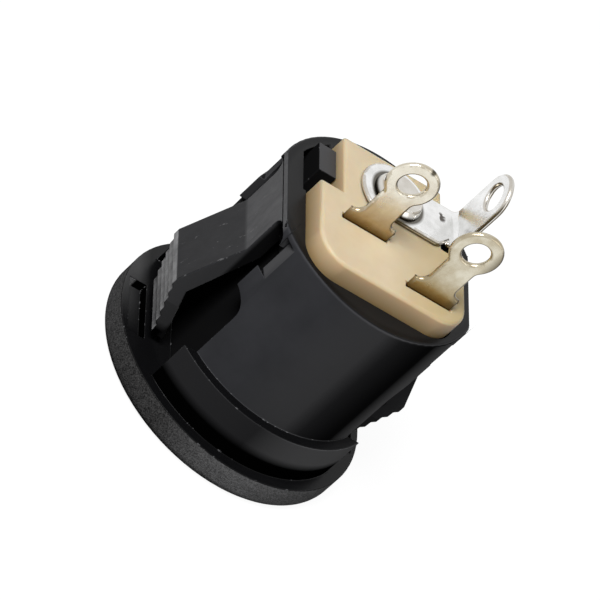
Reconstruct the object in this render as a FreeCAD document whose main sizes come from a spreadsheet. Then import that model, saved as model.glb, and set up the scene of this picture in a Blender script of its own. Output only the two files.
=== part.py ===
import FreeCAD, Part
import math
import os
import Sketcher

# Panel-mount DC barrel jack: a snap-in moulded housing, a terminal plate that closes its rear, a riveted
# centre pin with its solder lug, a sleeve spring and a fixed switch contact.
#
# Frame, in millimetres: the jack stands on the front face of its flange at z = 0, and +Z runs to the solder
# lugs. The snap arms lie at -X and +X. The plug's bore lies towards +Y, the two contacts towards -Y.

SIZES = {
    # Turned outside of the housing
    "flange_radius": 7.0,
    "flange_thick": 1.6,
    "flange_round": 0.5,
    "collar_radius": 6.4,
    "collar_height": 2.5,
    "body_radius": 5.86,
    "body_height": 11.93,
    "rim_round": 0.14,
    # Plug's bore, off the housing's axis to leave room for the contacts
    "plug_radius": 2.75,
    "plug_gap": 0.25,
    "plug_shift": 1.65,
    "mouth_chamfer": 0.45,
    # Chamber beside the bore that holds the two contacts
    "chamber_half_width": 3.55,
    "chamber_side": 0.5,
    "chamber_front": 3.7,
    "chamber_floor": 2.4,
    # Snap arms, moulded with the housing, and the room they spring into
    "arm_width": 3.37,
    "arm_thick": 0.85,
    "arm_root_out": 5.32,
    "arm_bend_height": 8.9,
    "ridge_out": 6.66,
    "ridge_height": 5.5,
    "tip_out": 5.42,
    "tip_height": 2.0,
    "tip_thick": 0.6,
    "ratchet_step": 0.18,
    "pocket_floor_out": 4.08,
    "seat_wall": 0.42,
    "pocket_half_width": 3.86,
    "pocket_height": 7.0,
    "slot_half_width": 2.95,
    "slot_height": 11.6,
    "facet_low": 9.45,
    "facet_width": 0.65,
    "facet_out": 4.75,
    "relief_depth": 0.5,
    "relief_inner": 5.6,
    "relief_outer": 6.55,
    "relief_margin": 0.1,
    # Terminal plate and the seat that it drops into
    "plate_thick": 2.1,
    "plate_proud": 1.09,
    "plate_front_width": 8.36,
    "plate_front": 4.46,
    "plate_step": 0.4,
    "plate_back_width": 5.7,
    "plate_back": 4.16,
    "plate_corner": 1.6,
    "plate_edge_round": 0.18,
    "seat_gap": 0.05,
    # Hollow beside the narrow half of the plate, with the tab that keeps the plate from turning
    "hollow_radius": 5.3,
    "hollow_out": 4.4,
    "hollow_depth": 1.4,
    "tab_proud": 0.5,
    "tab_out": 3.9,
    "tab_front": 1.7,
    "tab_back": 3.55,
    # Centre pin and its riveted tail
    "pin_radius": 1.05,
    "pin_recess": 0.6,
    "pin_nose": 0.5,
    "pin_collar_radius": 1.9,
    "pin_collar_thick": 0.8,
    "tail_radius": 0.8,
    "tail_gap": 0.03,
    "head_radius": 1.36,
    "head_thick": 0.42,
    "head_crown_radius": 1.15,
    # Sheet that the lugs and contacts are stamped from
    "sheet_thick": 0.3,
    "lug_base_width": 2.55,
    "lug_neck_width": 1.6,
    "lug_shoulder_height": 0.64,
    "lug_shoulder_flat": 0.03,
    "eye_radius": 1.27,
    "eye_hole_radius": 0.66,
    "eye_height": 3.38,
    "eye_web_round": 0.4,
    "slot_gap": 0.04,
    # Centre lug
    "ring_radius": 2.0,
    "centre_lug_front": 0.2,
    "centre_lug_right": 2.9,
    "centre_lug_clip": 0.45,
    "upright_in": 3.45,
    "upright_front": 0.52,
    "upright_width": 2.48,
    "upright_bend": 0.25,
    "upright_eye_height": 2.98,
    # Fixed switch contact
    "switch_lug_place": 1.68,
    "switch_depth": 1.36,
    "switch_leg_width": 1.45,
    "contact_gap": 0.03,
    # Sleeve spring
    "spring_lug_place": 2.0,
    "spring_depth": 3.46,
    "spring_straight": 1.9,
    "spring_left": 2.6,
    "spring_right": 1.7,
    "spring_apex_height": 3.7,
    "spring_tip_height": 2.9,
    "spring_squeeze": 0.35,
    "spring_tip_drop": 0.7,
    "spring_apex_round": 0.4,
}

SHEET_NAME = "Sizes"
NEAR = 1e-4


class Size:
    """A length that carries both its value and the sheet formula that it comes from."""

    def __init__(self, value, formula):
        self.value = value
        self.formula = formula

    def __add__(self, other):
        other = as_size(other)
        return Size(self.value + other.value, f"({self.formula} + {other.formula})")

    def __sub__(self, other):
        other = as_size(other)
        return Size(self.value - other.value, f"({self.formula} - {other.formula})")

    def __neg__(self):
        return Size(-self.value, f"(0 - {self.formula})")

    def __mul__(self, other):
        other = as_size(other)
        return Size(self.value * other.value, f"({self.formula} * {other.formula})")

    def __truediv__(self, other):
        other = as_size(other)
        return Size(self.value / other.value, f"({self.formula} / {other.formula})")


def as_size(number):
    """A plain number as a Size."""
    if isinstance(number, Size):
        return number
    return Size(float(number), repr(number))


def root(size):
    """Square root of a Size."""
    return Size(math.sqrt(size.value), f"sqrt({size.formula})")


def across(radius, side):
    """How far a circle of this radius reaches, square to a line that runs `side` from its centre."""
    return root(radius * radius - side * side)


def between(start, end, share):
    """The Size a share of the way from start to end."""
    return start + (end - start) * share


def make_sheet(document):
    """Writes the sizes into a spreadsheet and returns each as a Size under its own name."""
    sheet = document.addObject("Spreadsheet::Sheet", SHEET_NAME)
    for row, (name, value) in enumerate(SIZES.items(), start=1):
        sheet.set(f"A{row}", name)
        sheet.set(f"B{row}", str(value))
        sheet.setAlias(f"B{row}", name)
    document.recompute()
    return {name: Size(float(sheet.get(name)), f"{SHEET_NAME}.{name}") for name in SIZES}


document = FreeCAD.newDocument("BarrelJack")
size = make_sheet(document)


def bind(target, path, value):
    """Ties one property of an object to the sheet."""
    target.setExpression(path, as_size(value).formula)


def new_body(name):
    """A body whose label names its file."""
    body = document.addObject("PartDesign::Body", name)
    body.Label = name
    return body


def origin_plane(body, role):
    """One of the body's own origin planes."""
    return next(part for part in body.Origin.OriginFeatures if part.Role == role)


def new_sketch(body, name, role, offset=0):
    """A sketch on an origin plane of the body, moved along the plane's normal by an offset."""
    sketch = body.newObject("Sketcher::SketchObject", name)
    sketch.AttachmentSupport = [(origin_plane(body, role), "")]
    sketch.MapMode = "FlatFace"
    offset = as_size(offset)
    sketch.AttachmentOffset = FreeCAD.Placement(FreeCAD.Vector(0, 0, offset.value), FreeCAD.Rotation())
    bind(sketch, "AttachmentOffset.Base.z", offset)
    return sketch


def fix_point(sketch, edge, end, x, y):
    """Holds one end, or the centre, of a sketch edge at (x, y)."""
    for kind, place in (("DistanceX", x), ("DistanceY", y)):
        index = sketch.addConstraint(Sketcher.Constraint(kind, -1, 1, edge, end, place.value))
        bind(sketch, f"Constraints[{index}]", place)


def add_outline(sketch, corners):
    """Draws a closed outline. A corner is (x, y), or (x, y, radius) where the run to the next one is an arc
    that turns left about its centre, or right where the radius is negative. A half circle ends at the height
    where it starts."""
    spots = [(as_size(corner[0]), as_size(corner[1])) for corner in corners]
    runs = []
    for corner, (x0, y0), (x1, y1) in zip(corners, spots, spots[1:] + spots[:1]):
        start = FreeCAD.Vector(x0.value, y0.value, 0)
        end = FreeCAD.Vector(x1.value, y1.value, 0)
        if len(corner) == 2:
            runs.append((sketch.addGeometry(Part.LineSegment(start, end)), 1, 2))
            continue
        radius = as_size(corner[2])
        left = radius.value > 0
        chord = end - start
        reach = math.sqrt(max(radius.value**2 - chord.Length**2 / 4, 0))
        normal = FreeCAD.Vector(-chord.y, chord.x, 0).normalize() * (reach if left else -reach)
        centre = (start + end) / 2 + normal
        first, last = (start, end) if left else (end, start)
        angles = [math.atan2(spot.y - centre.y, spot.x - centre.x) for spot in (first, last)]
        circle = Part.Circle(centre, FreeCAD.Vector(0, 0, 1), abs(radius.value))
        edge = sketch.addGeometry(Part.ArcOfCircle(circle, *angles))
        if reach < NEAR:
            index = sketch.addConstraint(Sketcher.Constraint("DistanceY", -1, 1, edge, 3, y0.value))
            bind(sketch, f"Constraints[{index}]", y0)
        else:
            index = sketch.addConstraint(Sketcher.Constraint("Radius", edge, abs(radius.value)))
            bind(sketch, f"Constraints[{index}]", radius if left else -radius)
        runs.append((edge, 1, 2) if left else (edge, 2, 1))
    for (edge, _, end), (following, begin, _) in zip(runs, runs[1:] + runs[:1]):
        sketch.addConstraint(Sketcher.Constraint("Coincident", edge, end, following, begin))
    for (edge, begin, _), (x, y) in zip(runs, spots):
        fix_point(sketch, edge, begin, x, y)


def add_box_outline(sketch, left, right, low, high):
    """A rectangle between two x and two y places."""
    add_outline(sketch, [(left, low), (right, low), (right, high), (left, high)])


def add_circle(sketch, x, y, radius):
    """A full circle."""
    x, y, radius = as_size(x), as_size(y), as_size(radius)
    centre = FreeCAD.Vector(x.value, y.value, 0)
    edge = sketch.addGeometry(Part.Circle(centre, FreeCAD.Vector(0, 0, 1), radius.value))
    fix_point(sketch, edge, 3, x, y)
    index = sketch.addConstraint(Sketcher.Constraint("Radius", edge, radius.value))
    bind(sketch, f"Constraints[{index}]", radius)


def check_feature(feature):
    """Stops if a feature failed or left the body without a sound shape."""
    document.recompute()
    bad = [state for state in feature.State if state in ("Invalid", "Error")]
    if bad or feature.Shape.isNull() or not feature.Shape.isValid():
        raise RuntimeError(f"{feature.Name} failed: {feature.State}")


def add_pad(body, sketch, length, midplane=False, backwards=False):
    """Adds material along the sketch's normal, or against it where backwards."""
    before = body.Shape.Volume if body.Tip else 0.0
    pad = body.newObject("PartDesign::Pad", sketch.Name.replace("Sketch", "Pad"))
    pad.Profile = sketch
    pad.Midplane = midplane
    pad.Reversed = backwards
    bind(pad, "Length", length)
    check_feature(pad)
    if body.Shape.Volume <= before:
        raise RuntimeError(f"{pad.Name} adds nothing")
    return pad


def add_pocket(body, sketch, depth, forwards=False):
    """Cuts against the sketch's normal, or along it where forwards."""
    before = body.Shape.Volume
    pocket = body.newObject("PartDesign::Pocket", sketch.Name.replace("Sketch", "Pocket"))
    pocket.Profile = sketch
    pocket.Reversed = forwards
    bind(pocket, "Length", depth)
    check_feature(pocket)
    if body.Shape.Volume >= before:
        raise RuntimeError(f"{pocket.Name} cuts nothing")
    return pocket


def add_turned(body, sketch):
    """Turns a profile about the sketch's upright axis."""
    turned = body.newObject("PartDesign::Revolution", sketch.Name.replace("Sketch", "Turned"))
    turned.Profile = sketch
    turned.ReferenceAxis = (sketch, ["V_Axis"])
    turned.Angle = 360
    check_feature(turned)
    return turned


def matching_edges(shape, wanted):
    """The names of the edges for which wanted(edge) holds."""
    return [f"Edge{number}" for number, edge in enumerate(shape.Edges, start=1) if wanted(edge)]


def dress(body, kind, name, amount, wanted):
    """Rounds or chamfers the edges for which wanted(edge) holds."""
    base = body.Tip
    names = matching_edges(base.Shape, wanted)
    if not names:
        raise RuntimeError(f"{name} finds no edge")
    feature = body.newObject(f"PartDesign::{kind}", name)
    feature.Base = (base, names)
    bind(feature, "Radius" if kind == "Fillet" else "Size", amount)
    check_feature(feature)
    return feature


def near(value, place):
    """Whether a coordinate lies at a place."""
    return abs(value - as_size(place).value) < NEAR


def level(edge, height):
    """Whether an edge lies flat at a height."""
    return near(edge.BoundBox.ZMin, height) and near(edge.BoundBox.ZMax, height)


# Places that more than one piece shares
bore_radius = size["plug_radius"] + size["plug_gap"]
pin_y = size["plug_shift"]
rim_z = size["body_height"]
plate_top_z = rim_z + size["plate_proud"]
plate_low_z = plate_top_z - size["plate_thick"]
collar_top_z = size["flange_thick"] + size["collar_height"]
eye_z = plate_top_z + size["eye_height"]
plate_front_half = size["plate_front_width"] / 2
plate_back_half = size["plate_back_width"] / 2
lug_base_half = size["lug_base_width"] / 2
lug_neck_half = size["lug_neck_width"] / 2
sheet = size["sheet_thick"]


def plate_outline(sketch, gap):
    """The terminal plate's outline, wide in front and narrow behind, grown by a gap on every side."""
    corner = size["plate_corner"] + gap
    wide = plate_front_half + gap
    narrow = plate_back_half + gap
    front = -size["plate_front"] - gap
    step = size["plate_step"] + gap
    back = size["plate_back"] + gap
    add_outline(
        sketch,
        [
            (corner - wide, front),
            (wide - corner, front, corner),
            (wide, front + corner),
            (wide, step),
            (narrow, step),
            (narrow, back),
            (-narrow, back),
            (-narrow, step),
            (-wide, step),
            (-wide, front + corner, corner),
        ],
    )


def turned_shell(body):
    """Flange, panel collar and barrel as one turned solid."""
    sketch = new_sketch(body, "ShellSketch", "XZ_Plane")
    flange = size["flange_radius"]
    rounding = size["flange_round"]
    add_outline(
        sketch,
        [
            (0, 0),
            (flange - rounding, 0, rounding),
            (flange, rounding),
            (flange, size["flange_thick"]),
            (size["collar_radius"], size["flange_thick"]),
            (size["collar_radius"], collar_top_z),
            (size["body_radius"], collar_top_z),
            (size["body_radius"], rim_z - size["rim_round"], size["rim_round"]),
            (size["body_radius"] - size["rim_round"], rim_z),
            (0, rim_z),
        ],
    )
    add_turned(body, sketch)


def plug_bore(body):
    """The plug's bore, from the flange to the plate's seat, with a chamfered mouth."""
    sketch = new_sketch(body, "BoreSketch", "XY_Plane")
    add_circle(sketch, 0, pin_y, bore_radius)
    add_pocket(body, sketch, plate_low_z, forwards=True)
    dress(
        body,
        "Chamfer",
        "MouthChamfer",
        size["mouth_chamfer"],
        lambda edge: level(edge, 0) and near(edge.BoundBox.XLength, bore_radius * 2),
    )


def contact_chamber(body):
    """The chamber for the two contacts, open to the bore along its whole length and closed by the flange."""
    sketch = new_sketch(body, "ChamberSketch", "XY_Plane", plate_low_z)
    half = size["chamber_half_width"]
    add_box_outline(sketch, -half, half, -size["chamber_front"], -size["chamber_side"])
    add_pocket(body, sketch, plate_low_z - size["chamber_floor"])


def plate_seat(body):
    """The seat that the terminal plate drops into."""
    sketch = new_sketch(body, "SeatSketch", "XY_Plane", rim_z)
    plate_outline(sketch, size["seat_gap"])
    add_pocket(body, sketch, rim_z - plate_low_z)


def hollow_and_tab(body):
    """On each side of the plate's narrow half, a hollow inside the rim and the tab that stands in it."""
    radius = size["hollow_radius"]
    inner, outer = plate_back_half + size["seat_gap"], size["hollow_out"]
    low = size["plate_step"] + size["seat_gap"]
    hollow = new_sketch(body, "HollowSketch", "XY_Plane", rim_z)
    add_outline(
        hollow,
        [
            (inner, low),
            (outer, low),
            (outer, across(radius, outer), radius),
            (inner, across(radius, inner)),
        ],
    )
    pocket = add_pocket(body, hollow, size["hollow_depth"])
    tab = new_sketch(body, "TabSketch", "XY_Plane", rim_z - size["hollow_depth"])
    add_box_outline(tab, inner, size["tab_out"], size["tab_front"], size["tab_back"])
    pad = add_pad(body, tab, size["hollow_depth"] + size["tab_proud"])
    return [pocket, pad]


def arm_room(body):
    """The room that a snap arm springs into: wide beside the panel collar, narrow beside the arm's root, and
    shallower behind the root, where a wall parts it from the plate's seat."""
    wide = size["pocket_half_width"]
    narrow = size["slot_half_width"]
    low = size["flange_thick"]
    shoulder = wide - narrow
    knee = size["pocket_height"] + shoulder
    arm_half = size["arm_width"] / 2
    slot_round = (narrow - arm_half) / 2
    high = size["slot_height"]
    slot_end = high - slot_round
    seat_wall_out = plate_front_half + size["seat_gap"] + size["seat_wall"]
    right = [(wide, low), (wide, size["pocket_height"], shoulder), (narrow, knee)]
    left = [(-narrow, knee, shoulder), (-wide, size["pocket_height"]), (-wide, low)]
    slot_ends = [
        (narrow, slot_end, slot_round),
        (narrow - slot_round, high, slot_round),
        (arm_half, slot_end),
        (-arm_half, slot_end, slot_round),
        (slot_round - narrow, high, slot_round),
        (-narrow, slot_end),
    ]
    sketch = new_sketch(body, "RoomSketch", "YZ_Plane", seat_wall_out)
    add_outline(sketch, right + slot_ends + left)
    room = add_pocket(body, sketch, size["flange_radius"] - seat_wall_out, forwards=True)
    deep_top = plate_low_z - size["seat_wall"]
    deep = new_sketch(body, "DeepRoomSketch", "YZ_Plane", size["pocket_floor_out"])
    add_outline(deep, right + [(narrow, deep_top), (-narrow, deep_top)] + left)
    return [room, add_pocket(body, deep, seat_wall_out - size["pocket_floor_out"], forwards=True)]


def slot_facets(body):
    """The narrow flats on the barrel along the outer edges of the slots beside a snap arm."""
    sketch = new_sketch(body, "FacetSketch", "XY_Plane", size["slot_height"])
    barrel = size["body_radius"]
    inner = size["slot_half_width"]
    outer = inner + size["facet_width"]
    corners = [(size["facet_out"], inner), (barrel, inner), (barrel, outer), (across(barrel, outer), outer)]
    for side in (1, -1):
        add_outline(sketch, [(x, y * side) for x, y in corners])
    return add_pocket(body, sketch, size["slot_height"] - size["facet_low"])


def arm_relief(body):
    """The shallow relief in the back of the flange, under a snap arm's tip."""
    sketch = new_sketch(body, "ReliefSketch", "XY_Plane", size["flange_thick"])
    half = size["arm_width"] / 2 + size["relief_margin"]
    add_box_outline(sketch, size["relief_inner"], size["relief_outer"], -half, half)
    return add_pocket(body, sketch, size["relief_depth"])


def arm_flat(body):
    """The flat on the rear rim, level with a snap arm's outer face."""
    sketch = new_sketch(body, "FlatSketch", "XY_Plane", rim_z)
    reach = size["body_radius"]
    add_box_outline(sketch, size["arm_root_out"], reach, -reach, reach)
    return add_pocket(body, sketch, rim_z - collar_top_z)


RATCHET_STEPS = 6


def snap_arm(body):
    """A snap arm: a bent strip that hangs from the rear rim, swells to a ridge and steps back to its tip."""
    sketch = new_sketch(body, "ArmSketch", "XZ_Plane")
    thick = size["arm_thick"]
    root_in = size["arm_root_out"] - thick
    root_top = size["slot_height"] + (rim_z - size["slot_height"]) / 2
    ratchet = []
    for step in range(RATCHET_STEPS):
        x = between(size["ridge_out"], size["tip_out"], step / RATCHET_STEPS)
        z = between(size["ridge_height"], size["tip_height"], (step + 1) / RATCHET_STEPS)
        ratchet += [(x, z + size["ratchet_step"]), (x - size["ratchet_step"], z)]
    ratchet = ratchet[:-1]
    add_outline(
        sketch,
        [
            (size["arm_root_out"], root_top),
            (root_in, root_top),
            (root_in, size["arm_bend_height"]),
            (size["ridge_out"] - thick, size["ridge_height"] - thick / 2),
            (size["tip_out"] - size["tip_thick"], size["tip_height"]),
            (size["tip_out"], size["tip_height"]),
            *reversed(ratchet),
            (size["ridge_out"], size["ridge_height"]),
            (size["arm_root_out"], size["arm_bend_height"]),
        ],
    )
    return add_pad(body, sketch, size["arm_width"], midplane=True)


def mirror_across(body, features):
    """Repeats side features on the other side of the YZ plane."""
    mirrored = body.newObject("PartDesign::Mirrored", "OtherSide")
    mirrored.Originals = features
    mirrored.MirrorPlane = (origin_plane(body, "YZ_Plane"), [""])
    body.Tip = mirrored
    check_feature(mirrored)


def make_housing():
    """The black moulding: flange, collar, barrel and snap arms in one piece."""
    body = new_body("housing")
    turned_shell(body)
    plug_bore(body)
    contact_chamber(body)
    plate_seat(body)
    features = hollow_and_tab(body)
    features += [*arm_room(body), slot_facets(body), arm_relief(body), arm_flat(body), snap_arm(body)]
    mirror_across(body, features)
    return body


def lug_slot(body, name, place, outer_face):
    """A slot through the terminal plate for the base of a lug, with a gap round it."""
    sketch = new_sketch(body, name, "XY_Plane", plate_top_z)
    gap = size["slot_gap"]
    half = lug_base_half + gap
    add_box_outline(sketch, place - half, place + half, -outer_face - gap, sheet - outer_face + gap)
    add_pocket(body, sketch, size["plate_thick"])


def make_terminal_plate():
    """The pale plate that closes the rear, with a slot for each contact and a hole for the pin's tail."""
    body = new_body("terminal_plate")
    sketch = new_sketch(body, "PlateSketch", "XY_Plane", plate_low_z)
    plate_outline(sketch, as_size(0))
    add_pad(body, sketch, size["plate_thick"])
    dress(
        body,
        "Fillet",
        "PlateEdgeRound",
        size["plate_edge_round"],
        lambda edge: level(edge, plate_top_z),
    )
    lug_slot(body, "SwitchSlotSketch", -size["switch_lug_place"], size["switch_depth"])
    lug_slot(body, "SpringSlotSketch", size["spring_lug_place"], size["spring_depth"])
    tail = new_sketch(body, "TailHoleSketch", "XY_Plane", plate_top_z)
    add_circle(tail, 0, pin_y, size["tail_radius"] + size["tail_gap"])
    add_pocket(body, tail, size["plate_thick"])
    return body


def make_centre_pin():
    """The centre pin: nosed shank, collar under the plate, and a tail riveted over the centre lug."""
    body = new_body("centre_pin")
    bind(body, "Placement.Base.y", pin_y)
    sketch = new_sketch(body, "PinSketch", "XZ_Plane")
    shank, nose = size["pin_radius"], size["pin_nose"]
    collar = size["pin_collar_radius"]
    tail = size["tail_radius"]
    head_z = plate_top_z + sheet
    head = size["head_radius"]
    crown = size["head_crown_radius"]
    add_outline(
        sketch,
        [
            (0, size["pin_recess"]),
            (shank - nose, size["pin_recess"], nose),
            (shank, size["pin_recess"] + nose),
            (shank, plate_low_z - size["pin_collar_thick"]),
            (collar, plate_low_z - size["pin_collar_thick"]),
            (collar, plate_low_z),
            (tail, plate_low_z),
            (tail, head_z),
            (head, head_z),
            (crown, head_z + size["head_thick"]),
            (0, head_z + size["head_thick"]),
        ],
    )
    add_turned(body, sketch)
    return body


def along_y(edge, x, z):
    """Whether an edge runs straight along Y at a place in X and Z."""
    box = edge.BoundBox
    return near(box.XMin, x) and near(box.XMax, x) and level(edge, z)


def eye_hole(body, role, offset, place, height):
    """The wire hole through a lug's eye, cut from the sheet's outer face."""
    sketch = new_sketch(body, "EyeHoleSketch", role, offset)
    add_circle(sketch, place, height, size["eye_hole_radius"])
    add_pocket(body, sketch, sheet)


def solder_lug(body, place, outer_face, low_z):
    """The strip that a contact sends up through the plate: a wide base, a neck and an eye with a wire hole."""
    shoulder_z = plate_top_z + size["lug_shoulder_height"]
    strip = new_sketch(body, "LugSketch", "XZ_Plane", outer_face)
    add_outline(
        strip,
        [
            (place - lug_base_half, low_z),
            (place + lug_base_half, low_z),
            (place + lug_base_half, shoulder_z),
            (place + lug_neck_half, shoulder_z),
            (place + lug_neck_half, eye_z),
            (place - lug_neck_half, eye_z),
            (place - lug_neck_half, shoulder_z),
            (place - lug_base_half, shoulder_z),
        ],
    )
    add_pad(body, strip, sheet, backwards=True)
    eye = new_sketch(body, "EyeSketch", "XZ_Plane", outer_face)
    add_circle(eye, place, eye_z, size["eye_radius"])
    add_pad(body, eye, sheet, backwards=True)
    web_z = eye_z - across(size["eye_radius"], lug_neck_half)
    sides = (place - lug_neck_half, place + lug_neck_half)
    dress(
        body,
        "Fillet",
        "ShoulderRound",
        lug_base_half - lug_neck_half - size["lug_shoulder_flat"],
        lambda edge: any(along_y(edge, side, shoulder_z) for side in sides),
    )
    dress(
        body,
        "Fillet",
        "WebRound",
        size["eye_web_round"],
        lambda edge: any(along_y(edge, side, web_z) for side in sides),
    )
    eye_hole(body, "XZ_Plane", outer_face, place, eye_z)


# The sleeve spring's leaf leans from its straight root to an apex inside the plug's path
apex_y = pin_y - size["plug_radius"] + size["spring_squeeze"]
apex_z = size["spring_apex_height"]
leaf_top_z = plate_low_z - size["spring_straight"]
leaf_slope = (apex_y + size["spring_depth"] - sheet) / (leaf_top_z - apex_z)


def make_switch_contact():
    """The fixed switch contact: its leg lies clear of the plug, and the sleeve spring rests on its end."""
    body = new_body("switch_contact")
    place = -size["switch_lug_place"]
    solder_lug(body, place, size["switch_depth"], plate_low_z)
    leg = new_sketch(body, "LegSketch", "XZ_Plane", size["switch_depth"])
    left = place - lug_base_half
    meeting_z = apex_z + (apex_y + size["switch_depth"]) / leaf_slope
    low = meeting_z + size["contact_gap"]
    add_box_outline(leg, left, left + size["switch_leg_width"], low, plate_low_z)
    add_pad(body, leg, sheet, backwards=True)
    return body


def make_sleeve_spring():
    """The sleeve spring: a straight root under the plate and a leaf bent into the plug's path."""
    body = new_body("sleeve_spring")
    place = size["spring_lug_place"]
    depth = size["spring_depth"]
    solder_lug(body, place, depth, leaf_top_z)
    root_sketch = new_sketch(body, "RootSketch", "XZ_Plane", depth)
    root_top_z = plate_low_z - size["seat_gap"]
    add_box_outline(root_sketch, -size["spring_left"], place + lug_base_half, leaf_top_z, root_top_z)
    add_pad(body, root_sketch, sheet, backwards=True)
    tip_z = size["spring_tip_height"]
    drop = size["spring_tip_drop"]
    tip_slope = drop / (apex_z - tip_z)
    leaf_shift = sheet * root(leaf_slope * leaf_slope + 1)
    tip_shift = sheet * root(tip_slope * tip_slope + 1)
    fold_z = apex_z + (tip_shift - leaf_shift) / (leaf_slope + tip_slope)
    leaf = new_sketch(body, "LeafSketch", "YZ_Plane", -size["spring_left"])
    add_outline(
        leaf,
        [
            (sheet - depth, leaf_top_z),
            (-depth, leaf_top_z),
            (-depth, apex_z + (apex_y - leaf_shift + depth) / leaf_slope),
            (apex_y - leaf_slope * (fold_z - apex_z) - leaf_shift, fold_z),
            (apex_y - drop - tip_shift, tip_z),
            (apex_y - drop, tip_z),
            (apex_y, apex_z),
        ],
    )
    add_pad(body, leaf, size["spring_left"] + size["spring_right"])
    dress(
        body,
        "Fillet",
        "ApexRound",
        size["spring_apex_round"],
        lambda edge: level(edge, apex_z) and near(edge.BoundBox.YMin, apex_y),
    )
    return body


def make_centre_lug():
    """The centre lug: a ring under the rivet's head, cut straight in front, a flat tongue on the plate and an
    upright eye."""
    body = new_body("centre_lug")
    tail = size["tail_radius"] + size["tail_gap"]
    front, right = size["centre_lug_front"], size["centre_lug_right"]
    inside = size["upright_in"]
    low, back = size["upright_front"], size["upright_front"] + size["upright_width"]
    ring = size["ring_radius"]
    tongue = new_sketch(body, "TongueSketch", "XY_Plane", plate_top_z)
    add_outline(
        tongue,
        [
            (-across(ring, pin_y - front), front),
            (right - size["centre_lug_clip"], front),
            (right, front + size["centre_lug_clip"]),
            (right, low),
            (inside + sheet, low),
            (inside + sheet, back),
            (across(ring, back - pin_y), back, ring),
            (-ring, pin_y, ring),
        ],
    )
    add_pad(body, tongue, sheet)
    hole = new_sketch(body, "TailHoleSketch", "XY_Plane", plate_top_z + sheet)
    add_circle(hole, 0, pin_y, tail)
    add_pocket(body, hole, sheet)
    standing = new_sketch(body, "UprightSketch", "YZ_Plane", inside)
    half = size["upright_width"] / 2
    upright_eye_z = plate_top_z + size["upright_eye_height"]
    add_outline(
        standing,
        [
            (low, plate_top_z),
            (back, plate_top_z),
            (back, upright_eye_z, half),
            (low, upright_eye_z),
        ],
    )
    add_pad(body, standing, sheet)
    bend = size["upright_bend"]
    dress(
        body,
        "Fillet",
        "BendInside",
        bend,
        lambda edge: level(edge, plate_top_z + sheet)
        and near(edge.BoundBox.XMin, inside)
        and near(edge.BoundBox.XMax, inside),
    )
    dress(
        body,
        "Fillet",
        "BendOutside",
        bend + sheet,
        lambda edge: level(edge, plate_top_z)
        and near(edge.BoundBox.XMin, inside + sheet)
        and near(edge.BoundBox.XMax, inside + sheet),
    )
    eye_hole(body, "YZ_Plane", inside + sheet, low + half, upright_eye_z)
    return body


def export(bodies):
    """Checks every object and sub-part, then writes one file for each sub-part."""
    document.recompute()
    for item in document.Objects:
        if "Invalid" in item.State or "Error" in item.State:
            raise RuntimeError(f"{item.Name}: {item.State}")
    for body in bodies:
        shape = body.Shape
        if shape.isNull() or not shape.isValid() or len(shape.Solids) != 1:
            raise RuntimeError(f"{body.Label} is not one sound solid")
    os.makedirs("parts", exist_ok=True)
    for body in bodies:
        body.Shape.exportStep(f"parts/{body.Label}.step")
        print(body.Label, round(body.Shape.Volume, 3), "mm3")


export(
    [
        make_housing(),
        make_terminal_plate(),
        make_centre_pin(),
        make_centre_lug(),
        make_switch_contact(),
        make_sleeve_spring(),
    ]
)
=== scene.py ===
# %% [markdown]
# A snap-in power jack in a studio picture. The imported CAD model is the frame: every piece is already in
# its place, in metres, standing on the front face of its flange with its solder lugs up. The pieces could
# be modelled once more in Blender, but then their fits would be a guess, so their own shapes are kept and
# only finished here: a satin black moulding with a matte flange, a tan terminal plate, and plated
# stampings round a riveted pin.

# %% Load the frame
import math

import bmesh
import bpy
import numpy as np
from mathutils import Matrix, Vector
from mathutils.bvhtree import BVHTree


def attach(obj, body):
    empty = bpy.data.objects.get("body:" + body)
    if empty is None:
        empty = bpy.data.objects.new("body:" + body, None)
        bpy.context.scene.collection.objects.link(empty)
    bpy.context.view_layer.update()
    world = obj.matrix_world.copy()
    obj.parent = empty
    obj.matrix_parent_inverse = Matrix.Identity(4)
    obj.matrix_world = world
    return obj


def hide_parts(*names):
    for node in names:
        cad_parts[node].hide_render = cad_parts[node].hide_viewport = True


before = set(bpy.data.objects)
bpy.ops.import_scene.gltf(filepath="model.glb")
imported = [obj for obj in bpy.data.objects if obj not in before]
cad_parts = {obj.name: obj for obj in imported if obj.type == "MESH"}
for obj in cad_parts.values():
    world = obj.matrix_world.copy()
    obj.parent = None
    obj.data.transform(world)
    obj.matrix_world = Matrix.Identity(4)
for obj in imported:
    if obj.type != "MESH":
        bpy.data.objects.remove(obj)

MM = 0.001
scene = bpy.context.scene
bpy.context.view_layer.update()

# %% [markdown]
# The photograph was taken with a long lens from the jack's left, above the solder lugs, and the camera
# was rolled so that the jack's axis runs up to the right. The place and the two directions below come
# from a perspective fit to the flange's circle, the plate's outline and the lugs. A camera looks along
# its own -Z, so its matrix holds the picture's right, its up, and the direction back from the jack as
# columns.

# %% Camera
CAMERA_PLACE = np.array([-98.008, -167.05, 133.567])
PICTURE_RIGHT = np.array([0.78671, 0.00955, 0.61725])
PICTURE_UP = np.array([-0.45093, 0.69177, 0.56402])
FOCAL_LENGTH = 300.12
SENSOR_WIDTH = 36.0
NEAREST = 0.01
FURTHEST = 10.0


def aim(place_mm, right, up):
    """The matrix of a thing at a place in mm: its X runs right, its Y up, and its Z is X turned into Y."""
    right = Vector(right).normalized()
    up = Vector(up).normalized()
    matrix = Matrix([right, up, right.cross(up)]).transposed().to_4x4()
    matrix.translation = Vector(place_mm) * MM
    return matrix


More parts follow.
